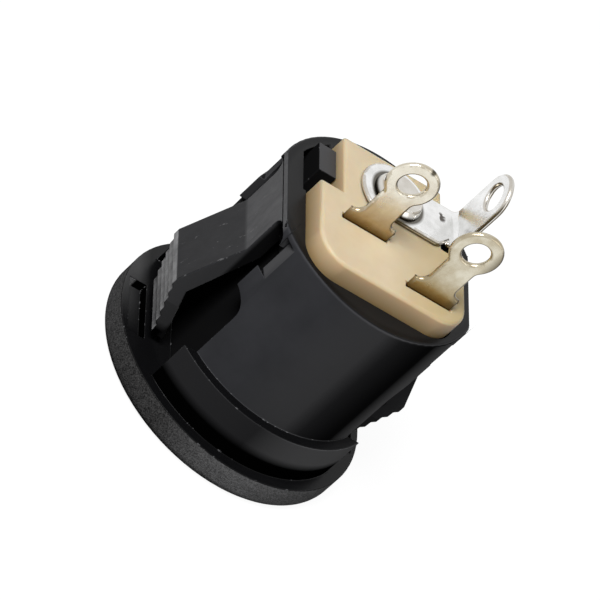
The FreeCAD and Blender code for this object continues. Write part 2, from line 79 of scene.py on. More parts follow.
camera_data = bpy.data.cameras.new("studio_camera")
camera_data.lens = FOCAL_LENGTH
camera_data.sensor_width = SENSOR_WIDTH
camera_data.clip_start = NEAREST
camera_data.clip_end = FURTHEST
camera = bpy.data.objects.new("studio_camera", camera_data)
camera.matrix_world = aim(CAMERA_PLACE, PICTURE_RIGHT, PICTURE_UP)
scene.collection.objects.link(camera)
scene.camera = camera
print("camera looks along", [round(value, 3) for value in -camera.matrix_world.col[2].xyz])

# %% [markdown]
# Real mouldings and stampings have no knife edges: light catches every edge as a thin line, and handling
# polishes it first. A Bevel modifier could round them, but a CAD node is loose triangles, and the
# materials need to know where the rounds are. So a copy is merged, its flat areas are joined into single
# faces, and its sharp edges are cut back in the mesh itself, which also tells which faces are new.

# %% Merge a CAD node and cut its rounds
MERGE_DISTANCE = 1e-6
FLAT_ANGLE = math.radians(0.5)
SHARP_ANGLE = math.radians(28)
ROUND_STEPS = 4


def merged_copy(node):
    """A CAD node's triangles, merged into one skin and joined where they turn less than the flat angle."""
    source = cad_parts[node]
    work = bmesh.new()
    work.from_mesh(source.data)
    work.transform(source.matrix_world)
    bmesh.ops.remove_doubles(work, verts=work.verts, dist=MERGE_DISTANCE)
    bmesh.ops.dissolve_limit(work, angle_limit=FLAT_ANGLE, verts=work.verts, edges=work.edges)
    return work


def cut_rounds(work, width):
    """Cuts back by a width in mm each edge whose two faces turn more than the sharp angle. Returns how many
    edges that were, and an array that is True for each face of a round."""
    paired = [edge for edge in work.edges if len(edge.link_faces) == 2]
    sharp = [edge for edge in paired if edge.calc_face_angle() > SHARP_ANGLE]
    made = bmesh.ops.bevel(
        work,
        geom=sharp,
        offset=width * MM,
        offset_type="OFFSET",
        segments=ROUND_STEPS,
        profile=0.5,
        affect="EDGES",
        clamp_overlap=False,
        loop_slide=True,
    )
    work.faces.index_update()
    rounds = np.zeros(len(work.faces), dtype=bool)
    rounds[[face.index for face in made["faces"]]] = True
    return len(sharp), rounds


# %% [markdown]
# Two masks are stored in each mesh. The vertex attribute edge is 1 in the middle of a round and 0 on the
# flat faces beside it, so it fades across the round. The face attribute sheared is 1 on the faces that a
# press tool cut through the strip: there the plating is gone. They could be painted by hand, but both
# follow from the shape. A sheared face has more metal behind it than the strip is thick, which a ray sent
# into the metal measures.

# %% Marks for the rounds and the sheared faces
RAY_START = 0.01
STRIP_LIMIT = 0.45


def mark_rounds(mesh, rounds):
    """Writes the vertex attribute edge: 1 where every face at the vertex is part of a round, else 0."""
    corners = np.empty(len(mesh.loops), dtype=np.int32)
    sizes = np.empty(len(mesh.polygons), dtype=np.int32)
    mesh.loops.foreach_get("vertex_index", corners)
    mesh.polygons.foreach_get("loop_total", sizes)
    inside = np.ones(len(mesh.vertices), dtype=np.float32)
    inside[corners[np.repeat(~rounds, sizes)]] = 0.0
    mesh.attributes.new("edge", "FLOAT", "POINT").data.foreach_set("value", inside)


def mark_sheared(mesh):
    """Writes the face attribute sheared: 1 where a ray from just under the face's centre, against its
    normal, runs further through the metal than the strip is thick, else 0. Returns how many that were."""
    points = np.empty((len(mesh.vertices), 3))
    centres = np.empty((len(mesh.polygons), 3))
    normals = np.empty((len(mesh.polygons), 3))
    mesh.vertices.foreach_get("co", points.reshape(-1))
    mesh.polygons.foreach_get("center", centres.reshape(-1))
    mesh.polygons.foreach_get("normal", normals.reshape(-1))
    solid = BVHTree.FromPolygons(points.tolist(), [tuple(face.vertices) for face in mesh.polygons])
    starts = centres - normals * RAY_START * MM
    depths = [solid.ray_cast(start, -normal)[3] for start, normal in zip(starts, normals)]
    thick = np.array([STRIP_LIMIT if depth is None else depth / MM for depth in depths]) > STRIP_LIMIT
    mesh.attributes.new("sheared", "FLOAT", "FACE").data.foreach_set("value", thick.astype(np.float32))
    return int(thick.sum())


# %% [markdown]
# The mouldings have rounds of about a twentieth of a millimetre, as a sharp tool leaves them. The
# stampings' rounds are wider, because a press rolls the strip's edge over, and the pin was turned and
# then spread by a punch. A round shades evenly into its flat neighbours when the large faces have the
# most say in the normals.

# %% The six pieces, dressed
FLAT_FACES_WEIGHT = 80
EDGE_WIDTHS = {
    "housing": 0.05,
    "terminal_plate": 0.06,
    "centre_pin": 0.1,
    "centre_lug": 0.14,
    "switch_contact": 0.14,
    "sleeve_spring": 0.14,
}


def dressed_copy(node, width):
    """A copy of a CAD node with its sharp edges rounded to a width in mm, which stands in for the node."""
    work = merged_copy(node)
    cut, rounds = cut_rounds(work, width)
    mesh = bpy.data.meshes.new(f"{node}_dressed")
    work.to_mesh(mesh)
    work.free()
    mesh.polygons.foreach_set("use_smooth", np.ones(len(mesh.polygons), dtype=bool))
    mark_rounds(mesh, rounds)
    sheared = mark_sheared(mesh)
    piece = bpy.data.objects.new(f"{node}_dressed", mesh)
    scene.collection.objects.link(piece)
    weighted = piece.modifiers.new("even_shading", "WEIGHTED_NORMAL")
    weighted.weight = FLAT_FACES_WEIGHT
    weighted.keep_sharp = False
    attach(piece, "root")
    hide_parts(node)
    print(node, cut, "edges rounded,", len(mesh.polygons), "faces,", sheared, "with thick metal behind")
    return piece


pieces = {node: dressed_copy(node, width) for node, width in EDGE_WIDTHS.items()}

# %% [markdown]
# Every material below is a small network of shader nodes. Image textures could carry the same marks, but
# they need an unwrapping and show their pixels close by, while a network stays sharp at any distance. The
# first helpers place one node, fill its inputs with values or links, and do arithmetic on what comes out.

# %% Helpers that place nodes


def place(tree, kind, inputs=None, **settings):
    """Adds a node, with settings for its properties and inputs that are values or other nodes' outputs."""
    made = tree.nodes.new(kind)
    for name, value in settings.items():
        setattr(made, name, value)
    for key, value in (inputs or {}).items():
        if isinstance(value, bpy.types.NodeSocket):
            tree.links.new(value, made.inputs[key])
        else:
            made.inputs[key].default_value = value
    return made


def number(tree, operation, first, second=0.0, clamp=False):
    """The output of one Math node."""
    made = place(tree, "ShaderNodeMath", {0: first, 1: second}, operation=operation, use_clamp=clamp)
    return made.outputs[0]


def product(tree, first, *others):
    """All the masks multiplied together, so that only a point inside every one of them counts."""
    for other in others:
        first = number(tree, "MULTIPLY", first, other)
    return first


def ramp(tree, value, low, high, start=0.0, end=1.0):
    """Maps low..high to start..end in a straight line, held inside that range."""
    made = place(
        tree,
        "ShaderNodeMapRange",
        {"Value": value, "From Min": low, "From Max": high, "To Min": start, "To Max": end},
    )
    return made.outputs["Result"]


def beyond(tree, value, start, width=0.1):
    """0 up to a start and 1 from a width past it, both in mm. A negative width fades the other way."""
    return ramp(tree, value, start * MM, (start + width) * MM)


def blend(tree, factor, first, second):
    """Mixes two colours, each a node's output or a red, green and blue."""
    made = place(tree, "ShaderNodeMix", {0: factor}, data_type="RGBA")
    for index, value in ((6, first), (7, second)):
        if isinstance(value, bpy.types.NodeSocket):
            tree.links.new(value, made.inputs[index])
        else:
            made.inputs[index].default_value = (*value, 1.0)
    return made.outputs[2]


# %% [markdown]
# The next helpers answer where a point lies and where its face looks. The place is read in the object's
# own coordinates, and the pieces lie unturned, so the direction is the jack's own too, and a mark stays
# where it is from every side. Noise is read there as well, in cells to the millimetre.

# %% Helpers that read the surface


def position(tree):
    """A point's place on the object, in metres."""
    return place(tree, "ShaderNodeTexCoord").outputs["Object"]


def facing(tree):
    """The direction in which a face looks, one unit long."""
    return place(tree, "ShaderNodeNewGeometry").outputs["Normal"]


def parts(tree, vector):
    """A vector's X, Y and Z."""
    return place(tree, "ShaderNodeSeparateXYZ", {0: vector}).outputs


def attribute(tree, name):
    """A mark that is stored in the mesh."""
    return place(tree, "ShaderNodeAttribute", attribute_name=name).outputs["Fac"]


def towards(tree, vector, direction):
    """How far a vector points in a direction: the sum of the products of their parts."""
    made = place(tree, "ShaderNodeVectorMath", {0: vector, 1: direction}, operation="DOT_PRODUCT")
    return made.outputs["Value"]


def distance(tree, centre, axes=(1.0, 1.0, 0.0)):
    """How far a point lies from a centre in mm, in metres. Axes that are 0 don't count."""
    flat = place(tree, "ShaderNodeVectorMath", {0: position(tree), 1: axes}, operation="MULTIPLY")
    middle = [part * axis * MM for part, axis in zip(centre, axes)]
    gap = place(tree, "ShaderNodeVectorMath", {0: flat.outputs[0], 1: middle}, operation="DISTANCE")
    return gap.outputs["Value"]


def noise(tree, scale, detail=3.0, roughness=0.55, stretch=(1.0, 1.0, 1.0)):
    """Noise from 0 to 1, mostly near a half; scale counts its cells in a millimetre."""
    cells = [part / MM for part in stretch]
    sized = place(tree, "ShaderNodeMapping", {"Vector": position(tree), "Scale": cells})
    made = place(
        tree,
        "ShaderNodeTexNoise",
        {"Vector": sized.outputs[0], "Scale": scale, "Detail": detail, "Roughness": roughness},
    )
    return made.outputs["Fac"]


# %% [markdown]
# An effect that several materials share is a node group, built once and placed in each with its own
# values. It puts out only masks, tones and heights. The shader itself stays in the material.

# %% Helpers for groups and materials


def new_group(name, inputs, outputs):
    """A node group with named float inputs, each with its default, and named float outputs."""
    group = bpy.data.node_groups.new(name, "ShaderNodeTree")
    for label, default in inputs.items():
        socket = group.interface.new_socket(label, in_out="INPUT", socket_type="NodeSocketFloat")
        socket.default_value = default
    for label in outputs:
        group.interface.new_socket(label, in_out="OUTPUT", socket_type="NodeSocketFloat")
    return group, group.nodes.new("NodeGroupInput").outputs, group.nodes.new("NodeGroupOutput").inputs


def use(tree, group, **values):
    """The outputs of a group placed with its own values; an underscore in a name stands for a space."""
    made = tree.nodes.new("ShaderNodeGroup")
    made.node_tree = group
    for name, value in values.items():
        made.inputs[name.replace("_", " ")].default_value = value
    return made.outputs


def new_material(name, **values):
    """A material with one Principled BSDF whose named sockets are set, its tree and that shader."""
    material = bpy.data.materials.new(name)
    material.use_nodes = True
    tree = material.node_tree
    shader = tree.nodes["Principled BSDF"]
    for label, value in values.items():
        shader.inputs[label.replace("_", " ")].default_value = value
    return material, tree, shader


def bump(tree, height, strength, depth):
    """The normal that a height leaves; depth is the height of 1 in mm."""
    made = place(tree, "ShaderNodeBump", {"Height": height, "Strength": strength, "Distance": depth * MM})
    return made.outputs["Normal"]


# %% [markdown]
# Moulded plastic is never one even tone: the melt leaves soft cloudy patches, and the tool's surface
# leaves a fine grain. One noise could hold both, but then neither could be sized, so two are mixed: the
# tone is the grain times its share plus the clouds times the rest.

# %% Shared effect: moulded grain
grain_group, given, result = new_group(
    "moulded_grain", {"Cloud Scale": 0.5, "Grain Scale": 12.0, "Grain Share": 0.3}, ["Tone", "Height"]
)
cloud = noise(grain_group, given["Cloud Scale"])
fine = noise(grain_group, given["Grain Scale"], detail=2.0, roughness=0.7)
fine_part = number(grain_group, "MULTIPLY", fine, given["Grain Share"])
cloud_share = number(grain_group, "SUBTRACT", 1.0, given["Grain Share"])
cloud_part = number(grain_group, "MULTIPLY", ramp(grain_group, cloud, 0.3, 0.7), cloud_share)
tone = number(grain_group, "ADD", fine_part, cloud_part, clamp=True)
grain_group.links.new(tone, result["Tone"])
grain_group.links.new(fine, result["Height"])
print("shared effect:", grain_group.name)

# %% [markdown]
# Worn edges show in broken lines, not in one even line. Where they are lighter, on the mouldings, the
# flecks are part wear and part a painted glint of light on the edge. So the mark of the rounds is
# multiplied by noise that has been cut off at a threshold: a higher threshold leaves fewer and shorter
# flecks.

# %% Shared effect: edge wear and painted glint
FLECK_SOFTNESS = 0.06
wear_and_glint_group, given, result = new_group(
    "edge_wear_and_glint", {"Speck Scale": 4.0, "Threshold": 0.5, "Amount": 1.0}, ["Mask"]
)
speck = noise(wear_and_glint_group, given["Speck Scale"], detail=4.0, roughness=0.65)
above = number(wear_and_glint_group, "SUBTRACT", speck, given["Threshold"])
flecks = ramp(wear_and_glint_group, above, 0.0, FLECK_SOFTNESS)
line = number(wear_and_glint_group, "MULTIPLY", attribute(wear_and_glint_group, "edge"), flecks)
mask = number(wear_and_glint_group, "MULTIPLY", line, given["Amount"], clamp=True)
wear_and_glint_group.links.new(mask, result["Mask"])
print("shared effect:", wear_and_glint_group.name)

# %% [markdown]
# The stampings grow duller and browner towards the foot of a lug, partly tin tarnished where hands and
# flux have been and partly a painted shade near the plate, and the border is blotchy. The mask is 1 below
# a low height and 0 above a high one, with an S-shaped fade between, and noise shifts it up and down.

# %% Shared effect: tarnish and painted shade at the foot
tarnish_and_shade_group, given, result = new_group(
    "foot_tarnish_and_shade", {"Low": 13.1, "High": 15.6, "Blotch Scale": 2.2, "Blotch": 0.45}, ["Mask"]
)
height_mm = number(tarnish_and_shade_group, "DIVIDE", parts(tarnish_and_shade_group, position(tarnish_and_shade_group))["Z"], MM)
blotch = noise(tarnish_and_shade_group, given["Blotch Scale"], detail=5.0, roughness=0.6)
swing = number(tarnish_and_shade_group, "MULTIPLY", number(tarnish_and_shade_group, "SUBTRACT", blotch, 0.5), given["Blotch"])
climbed = place(
    tarnish_and_shade_group,
    "ShaderNodeMapRange",
    {"Value": height_mm, "From Min": given["Low"], "From Max": given["High"], "To Min": 1.0, "To Max": 0.0},
    interpolation_type="SMOOTHSTEP",
)
tarnished_and_shaded = number(tarnish_and_shade_group, "ADD", climbed.outputs["Result"], swing, clamp=True)
tarnish_and_shade_group.links.new(tarnished_and_shaded, result["Mask"])
print("shared effect:", tarnish_and_shade_group.name)

# %% [markdown]
# The housing is one black moulding with two skins. Barrel, collar and arms are satin; the flange's rim
# and front, the only part seen once the jack is in its panel, are spark-eroded to a matte speckle.
# Separate materials could be given to separate faces, but the skins fade into each other, so each region
# is a mask of where a point lies and where its face looks: the matte skin, the faces square to the draw
# that keep the tool's polish, the arms' outer faces, the deep hollows behind them, and the small flats
# beside the slots. The gloss is a mask too, so the shader's own gloss only serves a viewer that can't
# read masks there.

# %% Regions of the black moulding
SKIN_RADIUS = 6.4
SKIN_TOP = 1.58
FRONT_TOP = 0.06
ARM_FROM = 5.2
DEEP_RADIUS = 5.55
FACET_OUT = 4.85
FACET_LOW = 9.4
PLAIN_GLOSS = 0.05
black, tree, shader = new_material("black_moulding", Specular_IOR_Level=PLAIN_GLOSS)
axes = parts(tree, position(tree))
looks = facing(tree)
square_on = number(tree, "ABSOLUTE", parts(tree, looks)["X"])
upright = number(tree, "ABSOLUTE", parts(tree, looks)["Z"])
out = number(tree, "ABSOLUTE", axes["X"])
radius = distance(tree, (0.0, 0.0, 0.0))
rim_skin = product(tree, beyond(tree, radius, SKIN_RADIUS), beyond(tree, axes["Z"], SKIN_TOP, -0.06))
skin = number(tree, "MAXIMUM", rim_skin, beyond(tree, axes["Z"], FRONT_TOP, -0.04))
polished = ramp(tree, upright, 0.6, 0.9)
above_flange = beyond(tree, axes["Z"], SKIN_TOP)
arm_face = product(tree, ramp(tree, square_on, 0.5, 0.8), beyond(tree, out, ARM_FROM, 0.08), above_flange)
deep = product(tree, beyond(tree, radius, DEEP_RADIUS, -0.2), above_flange)
beside_slot = product(tree, beyond(tree, out, FACET_OUT, -0.05), beyond(tree, axes["Z"], FACET_LOW))
facet = product(tree, beside_slot, ramp(tree, square_on, 0.9, 0.96), number(tree, "SUBTRACT", 1.0, deep))
print("regions of the moulding:", len(tree.nodes), "nodes")

# %% [markdown]
# The walls along the draw were dragged over the tool as it opened, which leaves them hazy, in cloudy
# greys. The round barrel mirrors dark things on its far side and a light one at its outline. Dark boards
# could be set up round the jack, but they would show in other views. So the barrel takes one painted
# tone after another as its wall turns to the far side: painted reflection and shade, and a painted
# highlight at its outline. The collar gets a painted reflection the same way, and a painted black shade
# at its foot where it meets the flange.

# %% Barrel and collar, with painted reflections and shade
FAR_SIDE = (0.863, -0.506, 0.0)
HAZE = [(0.05, 0.051, 0.056), (0.066, 0.067, 0.074)]
# The barrel's tones are painted reflection and shade by the wall's turn; the last is a painted highlight.
BARREL_PAINTED_REFLECTIONS = [
    (0.1, 0.55, (0.088, 0.088, 0.092)),
    (0.58, 0.7, (0.033, 0.033, 0.035)),
    (0.7, 0.88, (0.01, 0.01, 0.0105)),
    (0.9, 0.98, (0.24, 0.24, 0.245)),
]
COLLAR_TURN = (0.42, 0.94)
# The collar's two tones are a painted reflection, lighter as its wall turns to the far side.
COLLAR_PAINTED_REFLECTIONS = [(0.034, 0.034, 0.036), (0.24, 0.24, 0.245)]
COLLAR_FOOT = 2.35
FOOT_FADE = 0.5
# A painted black shade at the collar's foot.
FOOT_PAINTED_SHADE = (0.001, 0.001, 0.001)
COLLAR_TOP = 4.1
satin = use(tree, grain_group, Cloud_Scale=0.45, Grain_Scale=9.0, Grain_Share=0.25)
turned = towards(tree, looks, FAR_SIDE)
barrel = blend(tree, satin["Tone"], *HAZE)
for start, full, shade in BARREL_PAINTED_REFLECTIONS:
    barrel = blend(tree, ramp(tree, turned, start, full), barrel, shade)
band = blend(tree, ramp(tree, turned, *COLLAR_TURN), *COLLAR_PAINTED_REFLECTIONS)
collar = blend(tree, beyond(tree, axes["Z"], COLLAR_FOOT, FOOT_FADE), FOOT_PAINTED_SHADE, band)
walls = blend(tree, beyond(tree, axes["Z"], COLLAR_TOP, 0.02), collar, barrel)
print("barrel tones:", len(BARREL_PAINTED_REFLECTIONS))

# %% [markdown]
# Faces square to the draw mirror what is round them, and their colour is a painted deep black shade. The
# back of the flange is the widest of them, and painted grey light reaches it only at the left and towards
# the pin. Hollows get a painted shade, darker than any wall, because light that gets in is lost between
# their walls. The tab's flat end and the small flats beside the slots get painted light where they catch
# the key lamp. A colour for each, laid over the last by its mask, is easier to set than the light would be.

# %% Flat faces and hollows, with painted light and shade
# Painted shade for the flats and the hollows, painted light for the flange's back, the tab and the facets.
FLATS_PAINTED_SHADE = (0.004, 0.004, 0.0045)
LIT_BACK = (0.05, 0.05, 0.051)
HOLLOW_PAINTED_SHADE = (0.011, 0.011, 0.0115)
LIT_TAB = (0.055, 0.055, 0.058)
LIT_FACET = (0.12, 0.12, 0.125)
BACK_LEFT = -5.4
BACK_TO_PIN = -1.2
TAB_LOW = 11.98
to_left = beyond(tree, axes["X"], BACK_LEFT, -0.7)
to_pin = beyond(tree, axes["Y"], BACK_TO_PIN, 3.8)
flats = blend(tree, product(tree, to_left, to_pin), FLATS_PAINTED_SHADE, LIT_BACK)
body = blend(tree, polished, walls, flats)
hollowed = blend(tree, deep, body, HOLLOW_PAINTED_SHADE)
tabbed = blend(tree, product(tree, polished, beyond(tree, axes["Z"], TAB_LOW, 0.05)), hollowed, LIT_TAB)
faceted = blend(tree, facet, tabbed, LIT_FACET)
print("flat faces and hollows:", len(tree.nodes), "nodes")

# %% [markdown]
# The arms' outer faces slide through the panel's hole. They carry painted light above their bend, where
# they still stand straight, and painted shade below it. Cloudy scuffs lie over both, the stepped tips get
# a painted highlight broken by the scuffs, and thin strokes run along the draw. Drawing each stroke would
# be a long list, so they are noise stretched along the arm and cut off high, so that only its crests are
# left.

# %% Snap arms, with painted light and shade
ARM_BEND = 8.8
ARM_TIP_TOP = 5.5
# Painted light above the arms' bend and painted shade below it.
ARM_PAINTED_LIGHT_AND_SHADE = [(0.019, 0.019, 0.0205), (0.135, 0.135, 0.14)]
SCUFF = (0.04, 0.04, 0.043)
# Scuffs with a painted highlight on the stepped tips.
TIP_SCUFFS_AND_HIGHLIGHT = (0.6, 0.6, 0.61)
STROKE = (0.2, 0.2, 0.205)
rubs = noise(tree, 1.6, detail=5.0, roughness=0.65, stretch=(1.0, 1.0, 0.5))
scuffs = ramp(tree, rubs, 0.3, 0.7, 0.2, 0.7)
drawn_out = noise(tree, 2.4, detail=6.0, roughness=0.75, stretch=(1.0, 1.6, 0.25))
strokes = ramp(tree, drawn_out, 0.635, 0.67)
arm_light_and_shade = blend(tree, beyond(tree, axes["Z"], ARM_BEND, 0.2), *ARM_PAINTED_LIGHT_AND_SHADE)
armed = blend(tree, arm_face, faceted, arm_light_and_shade)
scuffed = blend(tree, product(tree, arm_face, scuffs), armed, SCUFF)
tip_scuffs_and_highlight = product(tree, arm_face, beyond(tree, axes["Z"], ARM_TIP_TOP, -0.1), scuffs)
stepped = blend(tree, tip_scuffs_and_highlight, scuffed, TIP_SCUFFS_AND_HIGHLIGHT)
scratched = blend(tree, product(tree, arm_face, strokes), stepped, STROKE)
print("snap arms:", len(tree.nodes), "nodes")

# %% [markdown]
# Spark erosion leaves craters in the tool, and they come out as a speckle of light and dark grains on the
# flange. Painted light makes the speckle lighter towards the far side and a little at the near end. Last
# come the flecks of wear and painted glint on the moulding's edges.

# %% Matte flange with painted light, and edges with wear and painted glint
LIT_SPECKLE = [(0.015, 0.015, 0.0155), (0.112, 0.11, 0.11)]
# Painted light: the speckle is lighter towards the far side and at the near end.
FAR_SPECKLE_PAINTED_LIGHT = [(0.12, 0.12, 0.122), (0.34, 0.34, 0.345)]
NEAR_END_PAINTED_LIGHT = 0.32
# Light flecks on the moulding's edges: wear and a painted glint.
FLECK_WEAR_AND_GLINT = (0.22, 0.22, 0.23)
matte = use(tree, grain_group, Cloud_Scale=5.0, Grain_Scale=14.0, Grain_Share=0.9)
wear_and_glint = use(tree, wear_and_glint_group, Speck_Scale=4.5, Threshold=0.6, Amount=0.6)
speckle = ramp(tree, matte["Tone"], 0.34, 0.66)
ends_painted_light = number(tree, "ADD", ramp(tree, turned, -0.1, 0.65), ramp(tree, turned, -0.6, -1.0, 0.0, NEAR_END_PAINTED_LIGHT))
matte_colour = blend(tree, ends_painted_light, blend(tree, speckle, *LIT_SPECKLE), blend(tree, speckle, *FAR_SPECKLE_PAINTED_LIGHT))
skinned = blend(tree, skin, scratched, matte_colour)
tree.links.new(blend(tree, wear_and_glint["Mask"], skinned, FLECK_WEAR_AND_GLINT), shader.inputs["Base Color"])
print("flange speckle:", LIT_SPECKLE[0][0], "to", FAR_SPECKLE_PAINTED_LIGHT[1][0])

# %% [markdown]
# Gloss follows the same regions: the polished faces mirror a little, the arms less, and the hazy walls
# and the matte skin not at all. Roughness is satin with the clouds, and more on the skin. The skin's
# craters are a bump of a few hundredths of a millimetre, which would cost very many triangles as shape,
# and the satin walls keep a trace of it.

# %% Gloss and grain of the moulding
POLISH_GLOSS = 0.12
ARM_GLOSS = 0.08
SATIN_ROUGH = (0.3, 0.42)
SKIN_ROUGH = 0.25
WALL_GRAIN = 0.06
gloss = number(tree, "MAXIMUM", product(tree, polished, POLISH_GLOSS), product(tree, arm_face, ARM_GLOSS))
off_skin = number(tree, "SUBTRACT", 1.0, skin)
tree.links.new(product(tree, gloss, off_skin), shader.inputs["Specular IOR Level"])
satin_rough = ramp(tree, satin["Tone"], 0.0, 1.0, *SATIN_ROUGH)
rough = number(tree, "ADD", satin_rough, product(tree, skin, SKIN_ROUGH))
tree.links.new(rough, shader.inputs["Roughness"])
depth = product(tree, number(tree, "ADD", skin, WALL_GRAIN), matte["Height"])
tree.links.new(bump(tree, depth, 0.6, 0.05), shader.inputs["Normal"])
print("black moulding:", len(tree.nodes), "nodes")

# %% [markdown]
# The terminal plate is a pale tan moulding with a low gloss. Light goes some way into it, so its thin
# front wall glows instead of turning brown: a share of the colour is spread under the surface, and the
# wall's colour rises from a painted brown shade at its foot to a sand lightened by painted light. A
# plain colour would leave the plate like painted wood. The top has soft flow marks and is yellower on
# its right half.

# %% Tan moulding
PLATE_FOOT = 11.8
PLATE_RISE = 1.1
PLATE_RIGHT = -0.5
PLATE_TURN = 4.0
LIGHT_SPREAD = (1.0, 0.6, 0.3)
LIGHT_DEPTH = 0.6
TOP_TONES = [(0.72, 0.58, 0.385), (0.79, 0.66, 0.46)]
RIGHT_TONE = (0.56, 0.44, 0.235)
# The wall's colour: a painted shade at its foot and painted light above.
WALL_PAINTED_LIGHT_AND_SHADE = [(0.46, 0.3, 0.13), (0.9, 0.7, 0.43)]
# Paler edges on the plate: wear and a painted glint.
PALE_EDGE_WEAR_AND_GLINT = (0.8, 0.67, 0.46)
tan, tree, shader = new_material(
    "tan_moulding",
    Specular_IOR_Level=0.4,
    Subsurface_Weight=0.5,
    Subsurface_Radius=LIGHT_SPREAD,
    Subsurface_Scale=LIGHT_DEPTH * MM,
)
flow = use(tree, grain_group, Cloud_Scale=0.6, Grain_Scale=16.0, Grain_Share=0.15)
rubbed_and_glint = use(tree, wear_and_glint_group, Speck_Scale=1.5, Threshold=0.35, Amount=0.5)
where = parts(tree, position(tree))
top_colour = blend(tree, flow["Tone"], *TOP_TONES)
top_colour = blend(tree, beyond(tree, where["X"], PLATE_RIGHT, PLATE_TURN), top_colour, RIGHT_TONE)
wall_light_and_shade = blend(tree, beyond(tree, where["Z"], PLATE_FOOT, PLATE_RISE), *WALL_PAINTED_LIGHT_AND_SHADE)
plate_colour = blend(tree, ramp(tree, parts(tree, facing(tree))["Z"], 0.2, 0.85), wall_light_and_shade, top_colour)
tree.links.new(blend(tree, rubbed_and_glint["Mask"], plate_colour, PALE_EDGE_WEAR_AND_GLINT), shader.inputs["Base Color"])
tree.links.new(ramp(tree, flow["Tone"], 0.0, 1.0, 0.42, 0.5), shader.inputs["Roughness"])
tree.links.new(bump(tree, flow["Height"], 0.15, 0.02), shader.inputs["Normal"])
print("tan moulding:", len(tree.nodes), "nodes")

# %% [markdown]
# The stampings are cut from tinned strip. Tin is bright but soft: rolling leaves faint lines along the
# strip, and handling leaves cloudy patches that scatter more. The sheared edges and the worn rounds show
# the brass below. Each metal piece is made by the same function with its own colours, so that they look
# like parts of one make.

# %% Plated metals
BARE_BRASS = (0.3, 0.24, 0.15)
SHEARED_SHARE = 0.3
TIN_ROUGH = (0.14, 0.3)
PATCH_HEIGHT = 0.3


def plated(name, bright, dull, foot, blotches, rough=TIN_ROUGH):
    """A plated finish, bright above and dull at its foot (two heights in mm): its material, tree, shader and
    colour. Blotches is how far its patches go from bright to dull."""
    material, tree, shader = new_material(name, Metallic=1.0)
    patch = use(tree, grain_group, Cloud_Scale=1.3, Grain_Scale=20.0, Grain_Share=0.2)
    broken = use(tree, wear_and_glint_group, Speck_Scale=1.2, Threshold=0.4, Amount=0.5)
    tarnish_and_painted_dark = use(tree, tarnish_and_shade_group, Low=foot[0], High=foot[1])
    rolled = noise(tree, 6.0, detail=2.0, stretch=(1.0, 1.0, 0.12))
    fresh = blend(tree, product(tree, ramp(tree, patch["Tone"], 0.25, 0.8), blotches), bright, dull)
    # Duller towards the foot: tarnish and painted shade.
    aged_and_shaded = blend(tree, tarnish_and_painted_dark["Mask"], fresh, dull)
    bare = blend(tree, product(tree, attribute(tree, "sheared"), SHEARED_SHARE), aged_and_shaded, BARE_BRASS)
    worn_and_shaded = blend(tree, broken["Mask"], bare, BARE_BRASS)
    tree.links.new(ramp(tree, patch["Tone"], 0.0, 1.0, *rough), shader.inputs["Roughness"])
    height = number(tree, "ADD", rolled, product(tree, patch["Height"], PATCH_HEIGHT))
    tree.links.new(bump(tree, height, 0.25, 0.02), shader.inputs["Normal"])
    return material, tree, shader, worn_and_shaded


# %% [markdown]
# Bright metal on a white ground is told by its dark outlines, which mirror the dark side of the room.
# Black cards beside the jack would give them in one view only. Here a painted dark reflection is laid on
# the rounds that look to the dark side, by the mark of the rounds times how far they look that way, so the
# outlines stay on the metal from every side.

# %% Painted dark outlines
DARK_SIDE = (0.85, 0.1, -0.45)
# The colour of the painted dark reflection on the rounds, and of the painted shade at the pin head's foot.
PAINTED_DARK_LINE = (0.03, 0.024, 0.016)
OUTLINE_SHARE = 0.92


def outline(tree, shader, colour, dark_side=DARK_SIDE, line=PAINTED_DARK_LINE):
    """Paints a dark reflection on the rounds that face a given dark side and feeds the colour to the shader.
    """
    away = ramp(tree, towards(tree, facing(tree), dark_side), 0.03, 0.26)
    rounds = ramp(tree, attribute(tree, "edge"), 0.0, 0.35)
    lined = blend(tree, product(tree, away, rounds, OUTLINE_SHARE), colour, line)
    tree.links.new(lined, shader.inputs["Base Color"])


def near(tree, centre, inner, outer, axes=(1.0, 1.0, 0.0)):
    """1 near a centre and 0 away from it, fading between two radii in mm. Axes that are 0 don't count."""
    return beyond(tree, distance(tree, centre, axes), outer, inner - outer)


# %% [markdown]
# The switch contact and the sleeve spring stand in slots of the plate. Both are golden brown at the foot,
# part tarnish and part painted shade, with a painted dark shade along their lowest edge. The right lug has
# a painted dark reflection along its right border, and the left eye has a small nick at its top. These are
# single marks, so each is a mask of its own place, where noise would scatter them.

# %% Switch and sleeve lugs
ROOT_TOP = 13.55
ROOT_FADE = -0.6
# A painted shade along the lugs' lowest edge.
ROOT_PAINTED_SHADE = (0.085, 0.05, 0.014)
